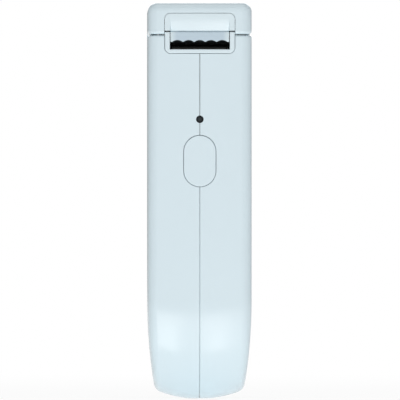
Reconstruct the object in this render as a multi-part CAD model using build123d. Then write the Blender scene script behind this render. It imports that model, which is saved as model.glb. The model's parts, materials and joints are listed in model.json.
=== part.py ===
from build123d import *
from math import atan2, cos, hypot, pi, radians, sin, sqrt, tan
import os

# Casing
CASE_WIDTH = 28.8
CASE_DEPTH = 75.0
CASE_HEIGHT = 110.0
WALL = 1.6
LOWER_CORNER = 27.0
FRONT_CROWN = 160.0
BOTTOM_CROWN = 31.0
FOOT_WIDTH = 6.0
SIDE_TAPER = 151.0
EDGE_ROUND = 2.8
TOP_ROUND = 2.4
LID_DEPTH = 9.0
LID_GAP = 0.3
LID_LIP_ROUND = 0.9
BODY_LIP_ROUND = 0.6
SEAM_WIDTH = 0.2
SEAM_DEPTH = 0.5

# Lid hinge along the rear edge
HINGE_BARREL = 1.8
HINGE_RISE = 0.8
HINGE_CLEARANCE = 0.25
HINGE_STEP = 2.4
HINGE_PIN = 1.5
KNUCKLE_LENGTH = 16.8
LUG_WIDTH = 2.6
LUG_GAP = 0.2

# Exit bezel, tear bar and thumb pad
BEZEL_WIDTH = 19.7
BEZEL_DROP = 5.1
BEZEL_SILL = 1.2
BEZEL_CORNER = 1.7
BEZEL_DEPTH = 3.1
BEZEL_RISE = 0.95
BEZEL_FLANGE = 1.2
BEZEL_FLANGE_WALL = 0.9
TRIM_GAP = 0.12
PAD_HEIGHT = 4.9
PAD_SCOOP = 0.9
PAD_SCOOP_HEIGHT = 4.6
PAD_SCOOP_DRAFT = 0.35
PAD_SCOOP_OVERLAP = 0.02
PAD_LIFT = 1.0
TEAR_BAR_THICKNESS = 0.5
TEAR_BAR_RECESS = 1.1
TEAR_BAR_SIDE_GAP = 0.2
TEAR_BAR_TOP_GAP = 0.3
TEAR_WALL_DROP = 2.1
TEAR_TIP_DROP = 3.1
TEAR_TEETH = 5
TEAR_TOOTH_PITCH = 3.1
TEAR_TOOTH_DEPTH = 0.5

# Button and status light on the narrow front face
BUTTON_WIDTH = 8.9
BUTTON_HEIGHT = 14.2
BUTTON_DROP = 34.9
BUTTON_GAP = 0.14
BUTTON_FLANGE = 1.2
BUTTON_FLANGE_THICKNESS = 0.7
BUTTON_FLANGE_GAP = 0.25
BUTTON_TRAVEL = 0.4
LIGHT_DIAMETER = 2.0
LIGHT_DROP = 23.3
LIGHT_GAP = 0.05
LIGHT_FLANGE = 0.6
SWITCH_SIZE = 6.0
SWITCH_THICKNESS = 1.5
PLUNGER_DIAMETER = 2.4
PLUNGER_LENGTH = 1.3
PLUNGER_CLEARANCE = 0.06
STEM_LENGTH = 0.5
SWITCH_GAP = 0.1
LED_SIZE = 1.6
LED_THICKNESS = 0.8
FRONT_BOARD_WIDTH = 12.0
FRONT_BOARD_HEIGHT = 27.5
FRONT_BOARD_DROP = 11.6
BOARD_THICKNESS = 0.8
BOARD_PIN = 1.2

# Print mechanism
ARM_THICKNESS = 1.0
PLATE_THICKNESS = 0.8
GEAR_WIDTH = 1.5
SIDE_CLEARANCE = 0.4
ARM_CLEARANCE = 0.2
ROLLER_END_GAP = 0.4
SLOT_SIDE_GAP = 0.25
PLATEN_SETBACK = 7.5
PLATEN_RISE = 0.3
PLATEN_DIAMETER = 6.4
SHAFT_DIAMETER = 2.0
SHAFT_FIT = 0.04
BUSH_DIAMETER = 3.6
BUSH_SLOT_GAP = 0.2
ARM_EYE = 2.8
TAPE_GAP = 0.12
HEAD_LENGTH = 10.0
CERAMIC_THICKNESS = 0.8
SINK_THICKNESS = 1.5
HEAD_PIVOT_SETBACK = 8.5
HEAD_PIVOT_DROP = 6.3
PIVOT_PIN = 1.5
PIVOT_EYE = 1.5
HEAD_EAR_WIDTH = 1.5
HEAD_PLUG_WIDTH = 4.4
HEAD_PLUG_GAP = 0.5
BRIDGE_DROP = 14.5
FRAME_NOSE = 3.8
LID_PLATE_CLEARANCE = 0.3
LID_PLATE_THICKNESS = 1.2
LID_PLATE_SETBACK = 8.0
LEAF_THICKNESS = 0.3
LEAF_WIDTH = 10.0

# Gear train, from motor pinion to platen gear
MODULE = 0.4
PINION_TEETH = 10
LOWER_IDLER_TEETH = 28
UPPER_IDLER_TEETH = 20
PLATEN_TEETH = 18
ADDENDUM = 0.75
DEDENDUM = 1.2
BACKLASH = 0.1
PRESSURE_ANGLE = 20.0
UPPER_IDLER_OFFSET = 1.5
AXLE_DIAMETER = 1.2
AXLE_FIT = 0.04

# Stepper motor
MOTOR_DIAMETER = 15.0
MOTOR_LENGTH = 11.0
MOTOR_DROP = 22.3
MOTOR_BOARD_GAP = 1.5
MOTOR_COLLAR = 6.0
MOTOR_SHAFT = 1.5
MOTOR_SCREW_CIRCLE = 5.0
MOTOR_SCREW = 1.6

# Roll bay
BAY_MOTOR_GAP = 0.5
BAY_REAR_SPACE = 9.1
BAY_WALL = 1.2
BAY_HEADROOM = 1.4
BAY_FRONT_LIP = 4.5
SENSOR_WIDTH = 5.0
SENSOR_HEIGHT = 1.8
SHELF_DROP = 7.2
SHELF_DEPTH = 3.9

# Battery and main board
BATTERY_THICKNESS = 8.0
BATTERY_WIDTH = 34.0
BATTERY_BOTTOM = 12.0
BATTERY_BAY_GAP = 2.2
BATTERY_EDGE_ROUND = 2.0
PAD_THICKNESS = 1.4
FOAM_PAD_HEIGHT = 6.0
MAIN_BOARD_THICKNESS = 1.0
MAIN_BOARD_FRONT = 11.0
MAIN_BOARD_REAR = 4.0
MAIN_BOARD_BOTTOM = 19.0
USB_WIDTH = 8.94
USB_HEIGHT = 3.26
USB_LENGTH = 7.3
USB_WALL = 0.3
USB_Z = 36.0
USB_GAP = 0.2
USB_SETBACK = 0.8
PLUG_DEPTH = 3.5
CHIP_THICKNESS = 0.9
CHIP_GAP = 2.5
CHIP_DROP = 8.0
RADIO_SETBACK = 8.0
RADIO_WIDTH = 12.0
RADIO_HEIGHT = 16.0
RADIO_THICKNESS = 2.0
PROCESSOR_SIZE = 7.0
DRIVER_SIZE = 4.0
INDUCTOR_SIZE = 4.5
INDUCTOR_HEIGHT = 2.2

# Fasteners
SHELL_SCREW = 2.0
SHELL_SCREW_HEAD = 3.8
SHELL_SCREW_LENGTH = 8.0
SHELL_SCREW_SEAT = 3.0
HEAD_THICKNESS = 1.3
HEAD_GAP = 0.2
BOSS_WALL = 0.8
BOARD_SCREW = 1.6
LID_SCREW = 1.6
PEG_DIAMETER = 2.4

# Wires
SIGNAL_WIRE = 0.5
POWER_WIRE = 0.9
WIRE_PITCH = 1.0
HEAD_WIRE_PITCH = 0.8
WIRE_MOTOR_GAP = 1.35

# Places worked out from the sizes
front = -CASE_DEPTH / 2
rear = CASE_DEPTH / 2
half_width = CASE_WIDTH / 2
inner_x = half_width - WALL
inner_front = front + WALL
inner_rear = rear - WALL
foot_drop = BOTTOM_CROWN - sqrt(BOTTOM_CROWN**2 - (FOOT_WIDTH / 2) ** 2)
body_top = CASE_HEIGHT - LID_DEPTH
lid_bottom = body_top + LID_GAP
bezel_bottom = body_top - BEZEL_DROP
button_z = body_top - BUTTON_DROP
light_z = body_top - LIGHT_DROP
hinge_y = rear - HINGE_BARREL
hinge_z = body_top + HINGE_RISE
gear_out = inner_x - SIDE_CLEARANCE
gear_in = gear_out - GEAR_WIDTH
plate_out = gear_in - SIDE_CLEARANCE
plate_in = plate_out - PLATE_THICKNESS
arm_out = plate_in - ARM_CLEARANCE
arm_in = arm_out - ARM_THICKNESS
roller_half = arm_in - ROLLER_END_GAP
slot_half = roller_half + SLOT_SIDE_GAP
platen_y = front + PLATEN_SETBACK
platen_z = body_top + PLATEN_RISE
head_top = platen_z - PLATEN_DIAMETER / 2 - TAPE_GAP
bridge_top = platen_z - BRIDGE_DROP + PLATE_THICKNESS
pivot_y = platen_y + HEAD_PIVOT_SETBACK
pivot_z = platen_z - HEAD_PIVOT_DROP
flange_front = inner_front + BUTTON_FLANGE_GAP
flange_back = flange_front + BUTTON_FLANGE_THICKNESS
plunger_front = flange_back + STEM_LENGTH
switch_front = plunger_front + BUTTON_TRAVEL + SWITCH_GAP
front_board_front = switch_front + SWITCH_THICKNESS
front_board_back = front_board_front + BOARD_THICKNESS
front_board_bottom = button_z - FRONT_BOARD_DROP
motor_y = front_board_back + MOTOR_BOARD_GAP + MOTOR_DIAMETER / 2
motor_z = platen_z - MOTOR_DROP
bay_front = motor_y + MOTOR_DIAMETER / 2 + BAY_MOTOR_GAP
bay_rear = inner_rear - BAY_REAR_SPACE
bay_outer = (bay_rear - bay_front) / 2
bay_inner = bay_outer - BAY_WALL
bay_y = (bay_rear + bay_front) / 2
bay_z = body_top - BAY_HEADROOM - bay_inner
bay_half = slot_half
cradle_half = bay_half + BAY_WALL
battery_top = bay_z - bay_outer - BATTERY_BAY_GAP
battery_side = PAD_THICKNESS - inner_x
board_in = USB_HEIGHT / 2
board_out = board_in + MAIN_BOARD_THICKNESS
board_top = battery_top - 1
board_front = front + MAIN_BOARD_FRONT
board_rear = rear - MAIN_BOARD_REAR
pad_bottom = lid_bottom + PAD_LIFT
pad_top = pad_bottom + PAD_HEIGHT
tear_half = slot_half - TEAR_BAR_SIDE_GAP
tear_front = front + TEAR_BAR_RECESS
tear_back = tear_front + TEAR_BAR_THICKNESS
tear_wall_bottom = pad_bottom - TEAR_WALL_DROP
platen_gear_tip = MODULE * (PLATEN_TEETH / 2 + ADDENDUM)
frame_plate_low = platen_z + platen_gear_tip + LID_PLATE_CLEARANCE
frame_plate_top = frame_plate_low + LID_PLATE_THICKNESS
frame_plate_rear = hinge_y - LID_PLATE_SETBACK
frame_front = platen_y - FRAME_NOSE
frame_top = platen_z + 0.3
shelf_front = bay_front - SHELF_DEPTH
head_half = roller_half - 0.2
head_plug_x0 = HEAD_EAR_WIDTH + HEAD_PLUG_GAP - head_half
head_plug_x1 = head_plug_x0 + HEAD_PLUG_WIDTH
boss_root = half_width - 0.75 * WALL
head_plug_y = board_front + 0.7
motor_plug_y = head_plug_y + 6.8
battery_plug_y = motor_plug_y + 6.0
front_plug_z = board_top - 15.0
chip_top = board_top - CHIP_DROP
radio_y = board_front + RADIO_SETBACK
processor_y = radio_y + RADIO_WIDTH + CHIP_GAP
driver_y = processor_y + PROCESSOR_SIZE + CHIP_GAP
inductor_y = driver_y + DRIVER_SIZE + CHIP_GAP
foam_pad_lows = (LOWER_CORNER + 1, battery_top - 2 - FOAM_PAD_HEIGHT)

shell_bosses = [
    (inner_front + 7.4, button_z - 1.6),
    (front + 15.0, 14.0),
    (rear - 15.0, 14.0),
    (inner_rear - 4.9, body_top - 11),
]
board_post_heights = [
    front_board_bottom + 1.7,
    front_board_bottom + FRONT_BOARD_HEIGHT - 1.7,
]
main_board_screws = [
    (board_front + 4.5, MAIN_BOARD_BOTTOM + 4),
    (board_rear - 5, MAIN_BOARD_BOTTOM + 5),
    (board_rear - 8, board_top - 5),
]
lid_screw_spots = [(x, y) for x in (-9.2, 9.2) for y in (platen_y + 12, frame_plate_rear - 7)]


def box(x0, x1, y0, y1, z0, z1):
    middle = Pos((x0 + x1) / 2, (y0 + y1) / 2, (z0 + z1) / 2)
    return middle * Box(x1 - x0, y1 - y0, z1 - z0)


def rod_x(diameter, x0, x1, y, z):
    return Pos((x0 + x1) / 2, y, z) * Rot(0, 90, 0) * Cylinder(diameter / 2, x1 - x0)


def rod_y(diameter, y0, y1, x, z):
    return Pos(x, (y0 + y1) / 2, z) * Rot(90, 0, 0) * Cylinder(diameter / 2, y1 - y0)


def rod_z(diameter, z0, z1, x, y):
    return Pos(x, y, (z0 + z1) / 2) * Cylinder(diameter / 2, z1 - z0)


def stadium_y(width, height, y0, y1, z):
    """Upright stadium, extruded along Y"""
    plane = Plane(origin=(0, y0, z), x_dir=(1, 0, 0), z_dir=(0, 1, 0))
    return extrude(plane * SlotOverall(height, width, rotation=90), y1 - y0)


def side_plate(x0, x1, outline):
    """Plate between two X planes, from an outline of (y, z) points"""
    face = make_face(Polyline(*[(x0, y, z) for y, z in outline], close=True))
    return extrude(face, x1 - x0, dir=(1, 0, 0))


def crown_face(half, reach, crown, plane):
    """Cross-section from the plane's origin out to a crowned face"""
    side = reach - (crown - sqrt(crown**2 - half**2))
    return plane * make_face([
        Line((-half, 0), (half, 0)),
        Line((half, 0), (half, side)),
        ThreePointArc((half, side), (0, reach), (-half, side)),
        Line((-half, side), (-half, 0)),
    ])


def taper_half(half, bend, drop):
    """Half width at a depth below the start of the side taper"""
    return half - bend + sqrt(bend**2 - drop**2)


def casing_form(inset):
    """Solid within the casing, drawn in by a wall or by nothing"""
    half = half_width - inset
    corner = LOWER_CORNER - inset
    turn_y = CASE_DEPTH / 2 - LOWER_CORNER
    top = CASE_HEIGHT - inset
    below = Plane(origin=(0, -turn_y, LOWER_CORNER), x_dir=(1, 0, 0), z_dir=(0, 1, 0))
    lowest = crown_face(half, corner + foot_drop, BOTTOM_CROWN - inset, below)
    form = extrude(lowest, 2 * turn_y)
    for way in (-1, 1):
        outward = Plane(origin=(0, 0, LOWER_CORNER), x_dir=(1, 0, 0), z_dir=(0, 0, way))
        upright = crown_face(half, CASE_DEPTH / 2 - inset, FRONT_CROWN - inset, outward)
        form += extrude(upright, top - LOWER_CORNER, dir=(0, 0, 1))
        sections = []
        for share in (0, 1 / 6, 1 / 3, 1 / 2, 2 / 3, 5 / 6, 1):
            angle = share * pi / 2
            outwards = Vector(0, way * cos(angle), -sin(angle))
            bend = (1 - share) / FRONT_CROWN + share / BOTTOM_CROWN
            plane = Plane(
                origin=(0, way * turn_y, LOWER_CORNER),
                x_dir=(1, 0, 0),
                z_dir=Vector(1, 0, 0).cross(outwards),
            )
            reach = corner + share * foot_drop
            sections.append(crown_face(half, reach, 1 / bend - inset, plane))
        form += loft(sections)
    bend = SIDE_TAPER - inset
    middle = taper_half(half, bend, LOWER_CORNER / 2)
    foot = taper_half(half, bend, corner)
    outline = make_face([
        Line((-half, top), (half, top)),
        Line((half, top), (half, LOWER_CORNER)),
        ThreePointArc((half, LOWER_CORNER), (middle, LOWER_CORNER / 2), (foot, inset)),
        Line((foot, inset), (-foot, inset)),
        ThreePointArc((-foot, inset), (-middle, LOWER_CORNER / 2), (-half, LOWER_CORNER)),
        Line((-half, LOWER_CORNER), (-half, top)),
    ])
    upright_plane = Plane(origin=(0, 0, 0), x_dir=(1, 0, 0), z_dir=(0, -1, 0))
    form = form & extrude(upright_plane * outline, CASE_DEPTH, both=True)
    return fillet(rim_edges(form), max(EDGE_ROUND - inset, 0.4))


def rim_edges(form):
    """Edges where the wide sides meet the narrow faces all round"""
    edges = []
    for edge in form.edges():
        spread = edge.bounding_box()
        near_side = abs(edge.center().X) > half_width * 0.8
        runs_along_side = spread.max.X - spread.min.X < 2.5
        level = spread.max.Z - spread.min.Z < 0.01
        if near_side and runs_along_side and not (level and spread.min.Z > LOWER_CORNER / 2):
            edges.append(edge)
    return edges


def outer_form():
    """Whole outside of the closed printer, with its soft top edge"""
    form = casing_form(0)
    return fillet(form.faces().sort_by(Axis.Z)[-1].edges(), TOP_ROUND)


def between(form, low, high):
    """The stretch of a form between two heights"""
    reach = CASE_DEPTH
    return form & box(-reach, reach, -reach, reach, low, high)


def ring_edges(form, height):
    return [edge for edge in form.edges() if abs(edge.center().Z - height) < 0.01]


def mirrored(shape):
    """A shape together with its mirror image across the middle"""
    return shape + mirror(shape, about=Plane.YZ)


def solids_of(shapes):
    return Compound(children=[Solid(solid.wrapped) for shape in shapes for solid in shape.solids()])


def shell_tub(outside, inside):
    """Both halves of the body casing before they are parted"""
    tub = between(outside, -1, body_top)
    tub = fillet(ring_edges(tub, body_top), BODY_LIP_ROUND)
    tub -= inside
    recess = HINGE_BARREL + HINGE_CLEARANCE
    tub -= rod_x(2 * recess, -half_width, half_width, hinge_y, hinge_z)
    tub -= box(-half_width, half_width, hinge_y, rear + 1, hinge_z - HINGE_STEP, hinge_z)
    notch = BEZEL_WIDTH / 2
    low = bezel_bottom
    cut = box(-notch, notch, front - 1, inner_front + 1, low, body_top + 1)
    cut = fillet(cut.edges().filter_by(Axis.Y).group_by(Axis.Z)[0], BEZEL_CORNER)
    tub -= cut
    hole = BUTTON_GAP * 2
    tub -= stadium_y(
        BUTTON_WIDTH + hole, BUTTON_HEIGHT + hole, front - 1, inner_front + 1, button_z
    )
    light = LIGHT_DIAMETER + 2 * LIGHT_GAP
    tub -= rod_y(light, front - 1, inner_front + 1, 0, light_z)
    socket = stadium_y(
        USB_HEIGHT + 2 * USB_GAP, USB_WIDTH + 2 * USB_GAP, inner_rear - 1, rear + 1, USB_Z
    )
    return tub - socket


def seam_cut(outside):
    """Fine groove where the two halves meet, all round the narrow faces"""
    band = outside & box(-SEAM_WIDTH / 2, SEAM_WIDTH / 2, 2 * front, 2 * rear, -1, body_top)
    return band - casing_form(SEAM_DEPTH)


def hinge_lug(side):
    """Ear on a casing half that holds one end of the hinge pin"""
    x0 = side * (KNUCKLE_LENGTH / 2 + LUG_GAP)
    x1 = x0 + side * LUG_WIDTH
    x0, x1 = sorted((x0, x1))
    lug = rod_x(2 * HINGE_BARREL - 0.1, x0, x1, hinge_y, hinge_z)
    reach = HINGE_BARREL - 0.05
    lug += box(x0, x1, hinge_y - reach, hinge_y + 0.4, hinge_z - 7, hinge_z)
    lug += box(x0, x1, hinge_y - reach, hinge_y + 1, hinge_z - 7, hinge_z - HINGE_STEP)
    return lug - rod_x(HINGE_PIN, x0 - 1, x1 + 1, hinge_y, hinge_z)


def left_boss(y, z):
    """Deep screw well that reaches from the left wall to the seam"""
    outer = SHELL_SCREW_HEAD + 2 * HEAD_GAP + 2 * BOSS_WALL
    return rod_x(outer, -boss_root, 0, y, z)


def left_well(y, z):
    head = SHELL_SCREW_HEAD + 2 * HEAD_GAP
    well = rod_x(head, -half_width - 1, -SHELL_SCREW_SEAT, y, z)
    return well + rod_x(SHELL_SCREW + 2 * HEAD_GAP, -SHELL_SCREW_SEAT - 1, 1, y, z)


def right_boss(y, z):
    boss = rod_x(SHELL_SCREW + 4 * BOSS_WALL, 0, boss_root, y, z)
    return boss - rod_x(SHELL_SCREW, -1, SHELL_SCREW_LENGTH - SHELL_SCREW_SEAT + 0.5, y, z)


def clamp_pegs(side):
    """Pegs from a casing half that locate the roll cradle and the print frame"""
    cradle_spots = [
        (bay_y - bay_inner * 0.35, bay_z - bay_inner * 0.7),
        (bay_y + bay_inner * 0.6, bay_z - bay_inner * 0.45),
        (bay_y + bay_inner * 0.7, bay_z + bay_inner * 0.6),
    ]
    frame_spots = [(pivot_y + 2.5, pivot_z + 2.5)]
    pegs = []
    for start, spots in ((cradle_half, cradle_spots), (plate_out, frame_spots)):
        for y, z in spots:
            x0, x1 = sorted((side * start, side * boss_root))
            pegs.append(rod_x(PEG_DIAMETER, x0, x1, y, z))
    return pegs


def board_posts(side):
    """Two posts behind the front face that hold the front board"""
    posts = []
    for z in board_post_heights:
        x = side * (FRONT_BOARD_WIDTH / 2 - 1.3)
        posts.append(rod_y(2 * BOARD_PIN, inner_front - WALL / 2, front_board_front, x, z))
        posts.append(rod_y(BOARD_PIN, front_board_front - 0.5, front_board_back + 0.4, x, z))
    return posts


def left_shell(tub):
    shell = tub & box(-2 * half_width, 0, 2 * front, 2 * rear, -1, CASE_HEIGHT)
    for y, z in shell_bosses:
        shell += left_boss(y, z)
    for y, z in shell_bosses:
        shell -= left_well(y, z)
    for piece in clamp_pegs(-1) + board_posts(-1) + [hinge_lug(-1)]:
        shell += piece
    return shell


def right_shell(tub):
    shell = tub & box(0, 2 * half_width, 2 * front, 2 * rear, -1, CASE_HEIGHT)
    for y, z in shell_bosses:
        shell += right_boss(y, z)
    for piece in clamp_pegs(1) + board_posts(1) + [hinge_lug(1)]:
        shell += piece
    for y, z in main_board_screws:
        shell += rod_x(BOARD_SCREW + 4 * BOSS_WALL, board_out, boss_root, y, z)
        shell -= rod_x(BOARD_SCREW, board_out - 1, board_out + 4, y, z)
    return shell


def shell_screw(y, z):
    seat = -SHELL_SCREW_SEAT
    screw = rod_x(SHELL_SCREW, seat, seat + SHELL_SCREW_LENGTH, y, z)
    return screw + cross_head(SHELL_SCREW_HEAD, seat, -1, y, z)


def cross_head(diameter, seat, way, y, z):
    """Flat screw head with a cross recess, on the side of its seat that way points to"""
    face = seat + way * HEAD_THICKNESS
    x0, x1 = sorted((seat, face))
    head = rod_x(diameter, x0, x1, y, z)
    head = fillet(head.edges().filter_by_position(Axis.X, face - 0.01, face + 0.01), 0.3)
    depth = sorted((face - way * 0.7, face + way))
    arm = diameter * 0.3
    slot = diameter * 0.08
    head -= box(*depth, y - arm, y + arm, z - slot, z + slot)
    return head - box(*depth, y - slot, y + slot, z - arm, z + arm)


def lid_notch():
    """Window in the lid's front wall that the thumb pad fills"""
    half = BEZEL_WIDTH / 2
    cut = box(-half, half, front - 1, inner_front + 1, lid_bottom - 1, pad_top)
    return fillet(cut.edges().filter_by(Axis.Y).group_by(Axis.Z)[-1], BEZEL_CORNER)


def lid_shell(outside, inside):
    lid = between(outside, lid_bottom, CASE_HEIGHT + 1)
    lid = fillet(ring_edges(lid, lid_bottom), LID_LIP_ROUND)
    barrel_side = box(-half_width, half_width, hinge_y, rear + 1, lid_bottom - 1, hinge_z)
    lid -= barrel_side
    lid -= inside
    rear_band = outside & box(
        -half_width, half_width, hinge_y - HINGE_BARREL, rear, hinge_z - HINGE_BARREL, hinge_z + 3
    )
    barrel = rod_x(2 * HINGE_BARREL, -half_width, half_width, hinge_y, hinge_z)
    above = box(-half_width, half_width, hinge_y, rear, hinge_z, hinge_z + 3)
    lid += rear_band & (barrel + above)
    knuckle = KNUCKLE_LENGTH / 2
    pocket = 2 * (HINGE_BARREL + 0.2)
    for side in (-1, 1):
        ends = sorted((side * knuckle, side * (knuckle + LUG_WIDTH + 2 * LUG_GAP)))
        lid -= rod_x(pocket, *ends, hinge_y, hinge_z)
        y0 = hinge_y - HINGE_BARREL - 0.2
        lid -= box(*ends, y0, hinge_y, hinge_z - 3, hinge_z + 1)
    lid -= rod_x(HINGE_PIN + 0.1, -knuckle, knuckle, hinge_y, hinge_z)
    lid -= lid_notch()
    for x, y in lid_screw_spots:
        lid += rod_z(LID_SCREW + 4 * BOSS_WALL, frame_plate_top, CASE_HEIGHT - WALL / 2, x, y)
        lid -= rod_z(LID_SCREW, frame_plate_top - 1, frame_plate_top + 2, x, y)
    return lid


def thumb_scoop():
    """Cutter for the pad, whose floor follows the crowned face and fades out at its top"""
    scoop_top = pad_bottom + PAD_SCOOP_HEIGHT
    bend = PAD_SCOOP_HEIGHT**2 / (2 * PAD_SCOOP)
    draft = PAD_SCOOP_DRAFT / PAD_SCOOP
    mouth = slot_half + draft
    floor = slot_half - 2 * draft
    section = Polyline(
        (-mouth, front - 1), (mouth, front - 1), (floor, front + 2), (-floor, front + 2), close=True
    )
    block = Pos(0, 0, pad_bottom - 1) * extrude(
        make_face(section), PAD_SCOOP_HEIGHT + 1, dir=(0, 0, 1)
    )
    ring = Torus(FRONT_CROWN + PAD_SCOOP_OVERLAP - bend, bend)
    return block - Pos(0, front + FRONT_CROWN, scoop_top) * ring


def lid_frame(outside):
    """Inner frame of the lid: thumb pad, front wall, plate and the two roller arms"""
    half = BEZEL_WIDTH / 2 - TRIM_GAP
    pad = box(-half, half, front - 1, inner_front + 0.9, pad_bottom, pad_top - TRIM_GAP)
    pad = fillet(pad.edges().filter_by(Axis.Y).group_by(Axis.Z)[-1], BEZEL_CORNER - TRIM_GAP)
    pad = pad & outside
    pad -= thumb_scoop()
    wall_back = tear_back + 1.2
    pad += box(-tear_half, tear_half, tear_back, wall_back, tear_wall_bottom, pad_top - TRIM_GAP)
    plate_half = inner_x - 0.4
    plate = box(-plate_half, plate_half, tear_back, frame_plate_rear, frame_plate_low, frame_plate_top)
    front_corners = plate.edges().filter_by(Axis.Z).group_by(Axis.Y)[0]
    plate = fillet(front_corners, 3.0)
    plate = plate & casing_form(WALL + 0.2)
    frame = pad + plate
    for side in (-1, 1):
        x0, x1 = sorted((side * arm_in, side * arm_out))
        eye = ARM_EYE
        arm = rod_x(2 * eye, x0, x1, platen_y, platen_z)
        arm += box(x0, x1, platen_y - eye, platen_y + eye, platen_z, frame_plate_low)
        arm += side_plate(x0, x1, [
            (platen_y + eye, platen_z + 1),
            (platen_y + eye, frame_plate_low),
            (platen_y + eye + 4, frame_plate_low),
        ])
        frame += arm
        frame -= rod_x(BUSH_DIAMETER, x0 - 1, x1 + 1, platen_y, platen_z)
    for x, y in lid_screw_spots:
        frame -= rod_z(LID_SCREW + 2 * HEAD_GAP, frame_plate_low - 1, frame_plate_top + 1, x, y)
    rib_start = platen_y + PLATEN_DIAMETER / 2 + 2
    rib_end = frame_plate_rear - 4
    for x in (-4, 4):
        frame += box(x - 0.5, x + 0.5, rib_start, rib_end, frame_plate_low - 1, frame_plate_low)
    return frame


def lid_screw(x, y):
    low = frame_plate_low
    screw = rod_z(LID_SCREW, low, frame_plate_top + 2, x, y)
    head = rod_z(1.9 * LID_SCREW, low - 0.9, low, x, y)
    head = fillet(head.edges().group_by(Axis.Z)[0], 0.3)
    arm = LID_SCREW * 0.5
    head -= box(x - arm, x + arm, y - 0.15, y + 0.15, low - 2, low - 0.4)
    head -= box(x - 0.15, x + 0.15, y - arm, y + arm, low - 2, low - 0.4)
    return screw + head


def tear_bar():
    """Cutting bar with a scalloped lower edge"""
    low = pad_bottom - TEAR_TIP_DROP
    high = pad_bottom - TEAR_BAR_TOP_GAP
    bar = box(-tear_half, tear_half, tear_front, tear_back, low, high)
    chord = TEAR_TOOTH_PITCH / 2 - 0.12
    bend = (chord**2 + TEAR_TOOTH_DEPTH**2) / (2 * TEAR_TOOTH_DEPTH)
    for tooth in range(TEAR_TEETH):
        x = (tooth - (TEAR_TEETH - 1) / 2) * TEAR_TOOTH_PITCH
        z = low + TEAR_TOOTH_DEPTH - bend
        bar -= rod_y(2 * bend, tear_front - 1, tear_back + 1, x, z)
    edge = bar.edges().filter_by(Axis.X).group_by(Axis.Z)[-1].sort_by(Axis.Y)[0]
    return fillet(edge, 0.15)


def exit_bezel():
    """U-shaped surround of the tape slot, with a locating flange behind the wall"""
    half = BEZEL_WIDTH / 2 - TRIM_GAP
    low = bezel_bottom + TRIM_GAP
    high = body_top + BEZEL_RISE
    back = front + BEZEL_DEPTH
    bezel = box(-half, half, front, back, low, high)
    bezel = fillet(bezel.edges().filter_by(Axis.Y).group_by(Axis.Z)[0], BEZEL_CORNER - TRIM_GAP)
    bezel = fillet(bezel.faces().sort_by(Axis.Y)[0].edges(), 0.3)
    outer = half + BEZEL_FLANGE
    flange_front_y = back - BEZEL_FLANGE_WALL
    flange = box(-outer, outer, flange_front_y, back, low - BEZEL_FLANGE, body_top - 0.4)
    bezel += flange
    sill = bezel_bottom + BEZEL_SILL
    bezel -= box(-slot_half, slot_half, front - 1, back + 1, sill, high + 1)
    lip = bezel.edges().filter_by(Axis.X).filter_by_position(Axis.Z, sill - 0.01, sill + 0.01)
    return fillet(lip.sort_by(Axis.Y)[0], 0.25)


def button_cap(outside):
    cap = stadium_y(BUTTON_WIDTH, BUTTON_HEIGHT, front - 1, flange_back, button_z) & outside
    cap = fillet(cap.faces().sort_by(Axis.Y)[0].edges(), 0.2)
    grow = 2 * BUTTON_FLANGE
    cap += stadium_y(
        BUTTON_WIDTH + grow, BUTTON_HEIGHT + grow, flange_front, flange_back, button_z
    )
    return cap + rod_y(PLUNGER_DIAMETER, flange_back - 0.2, plunger_front, 0, button_z)


def switch_body():
    half = SWITCH_SIZE / 2
    body = box(-half, half, switch_front, front_board_front, button_z - half, button_z + half)
    body = chamfer(body.edges().filter_by(Axis.Y), 0.5)
    bore = PLUNGER_DIAMETER + 2 * PLUNGER_CLEARANCE
    return body - rod_y(bore, switch_front - 1, front_board_front - 0.15, 0, button_z)


def switch_plunger():
    return rod_y(PLUNGER_DIAMETER, plunger_front, plunger_front + PLUNGER_LENGTH, 0, button_z)


def light_lens():
    """Smoked light pipe with a collar behind the casing wall"""
    tip = front + 0.08
    lens = rod_y(LIGHT_DIAMETER, tip, front_board_front - LED_THICKNESS - 0.2, 0, light_z)
    collar = LIGHT_DIAMETER + 2 * LIGHT_FLANGE
    return lens + rod_y(collar, inner_front + 0.05, inner_front + 0.65, 0, light_z)


def status_led():
    half = LED_SIZE / 2
    tip = front_board_front - LED_THICKNESS
    led = box(-half, half, tip, front_board_front, light_z - 0.5, light_z + 0.5)
    return fillet(led.edges().filter_by(Axis.Y), 0.15)


def front_board():
    half = FRONT_BOARD_WIDTH / 2
    top = front_board_bottom + FRONT_BOARD_HEIGHT
    board = box(-half, half, front_board_front, front_board_back, front_board_bottom, top)
    board = fillet(board.edges().filter_by(Axis.Y), 1.0)
    for z in board_post_heights:
        for side in (-1, 1):
            x = side * (half - 1.3)
            board -= rod_y(BOARD_PIN, front_board_front - 1, front_board_back + 1, x, z)
    return board


def front_board_plug():
    """Wire connector on the back of the front board, open downwards"""
    low = front_board_bottom + 0.5
    plug = box(-2.4, 2.4, front_board_back, front_board_back + 2.0, low, low + 3)
    return plug - box(-2.0, 2.0, front_board_back + 0.5, front_board_back + 1.6, low - 1, low + 1)


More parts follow.
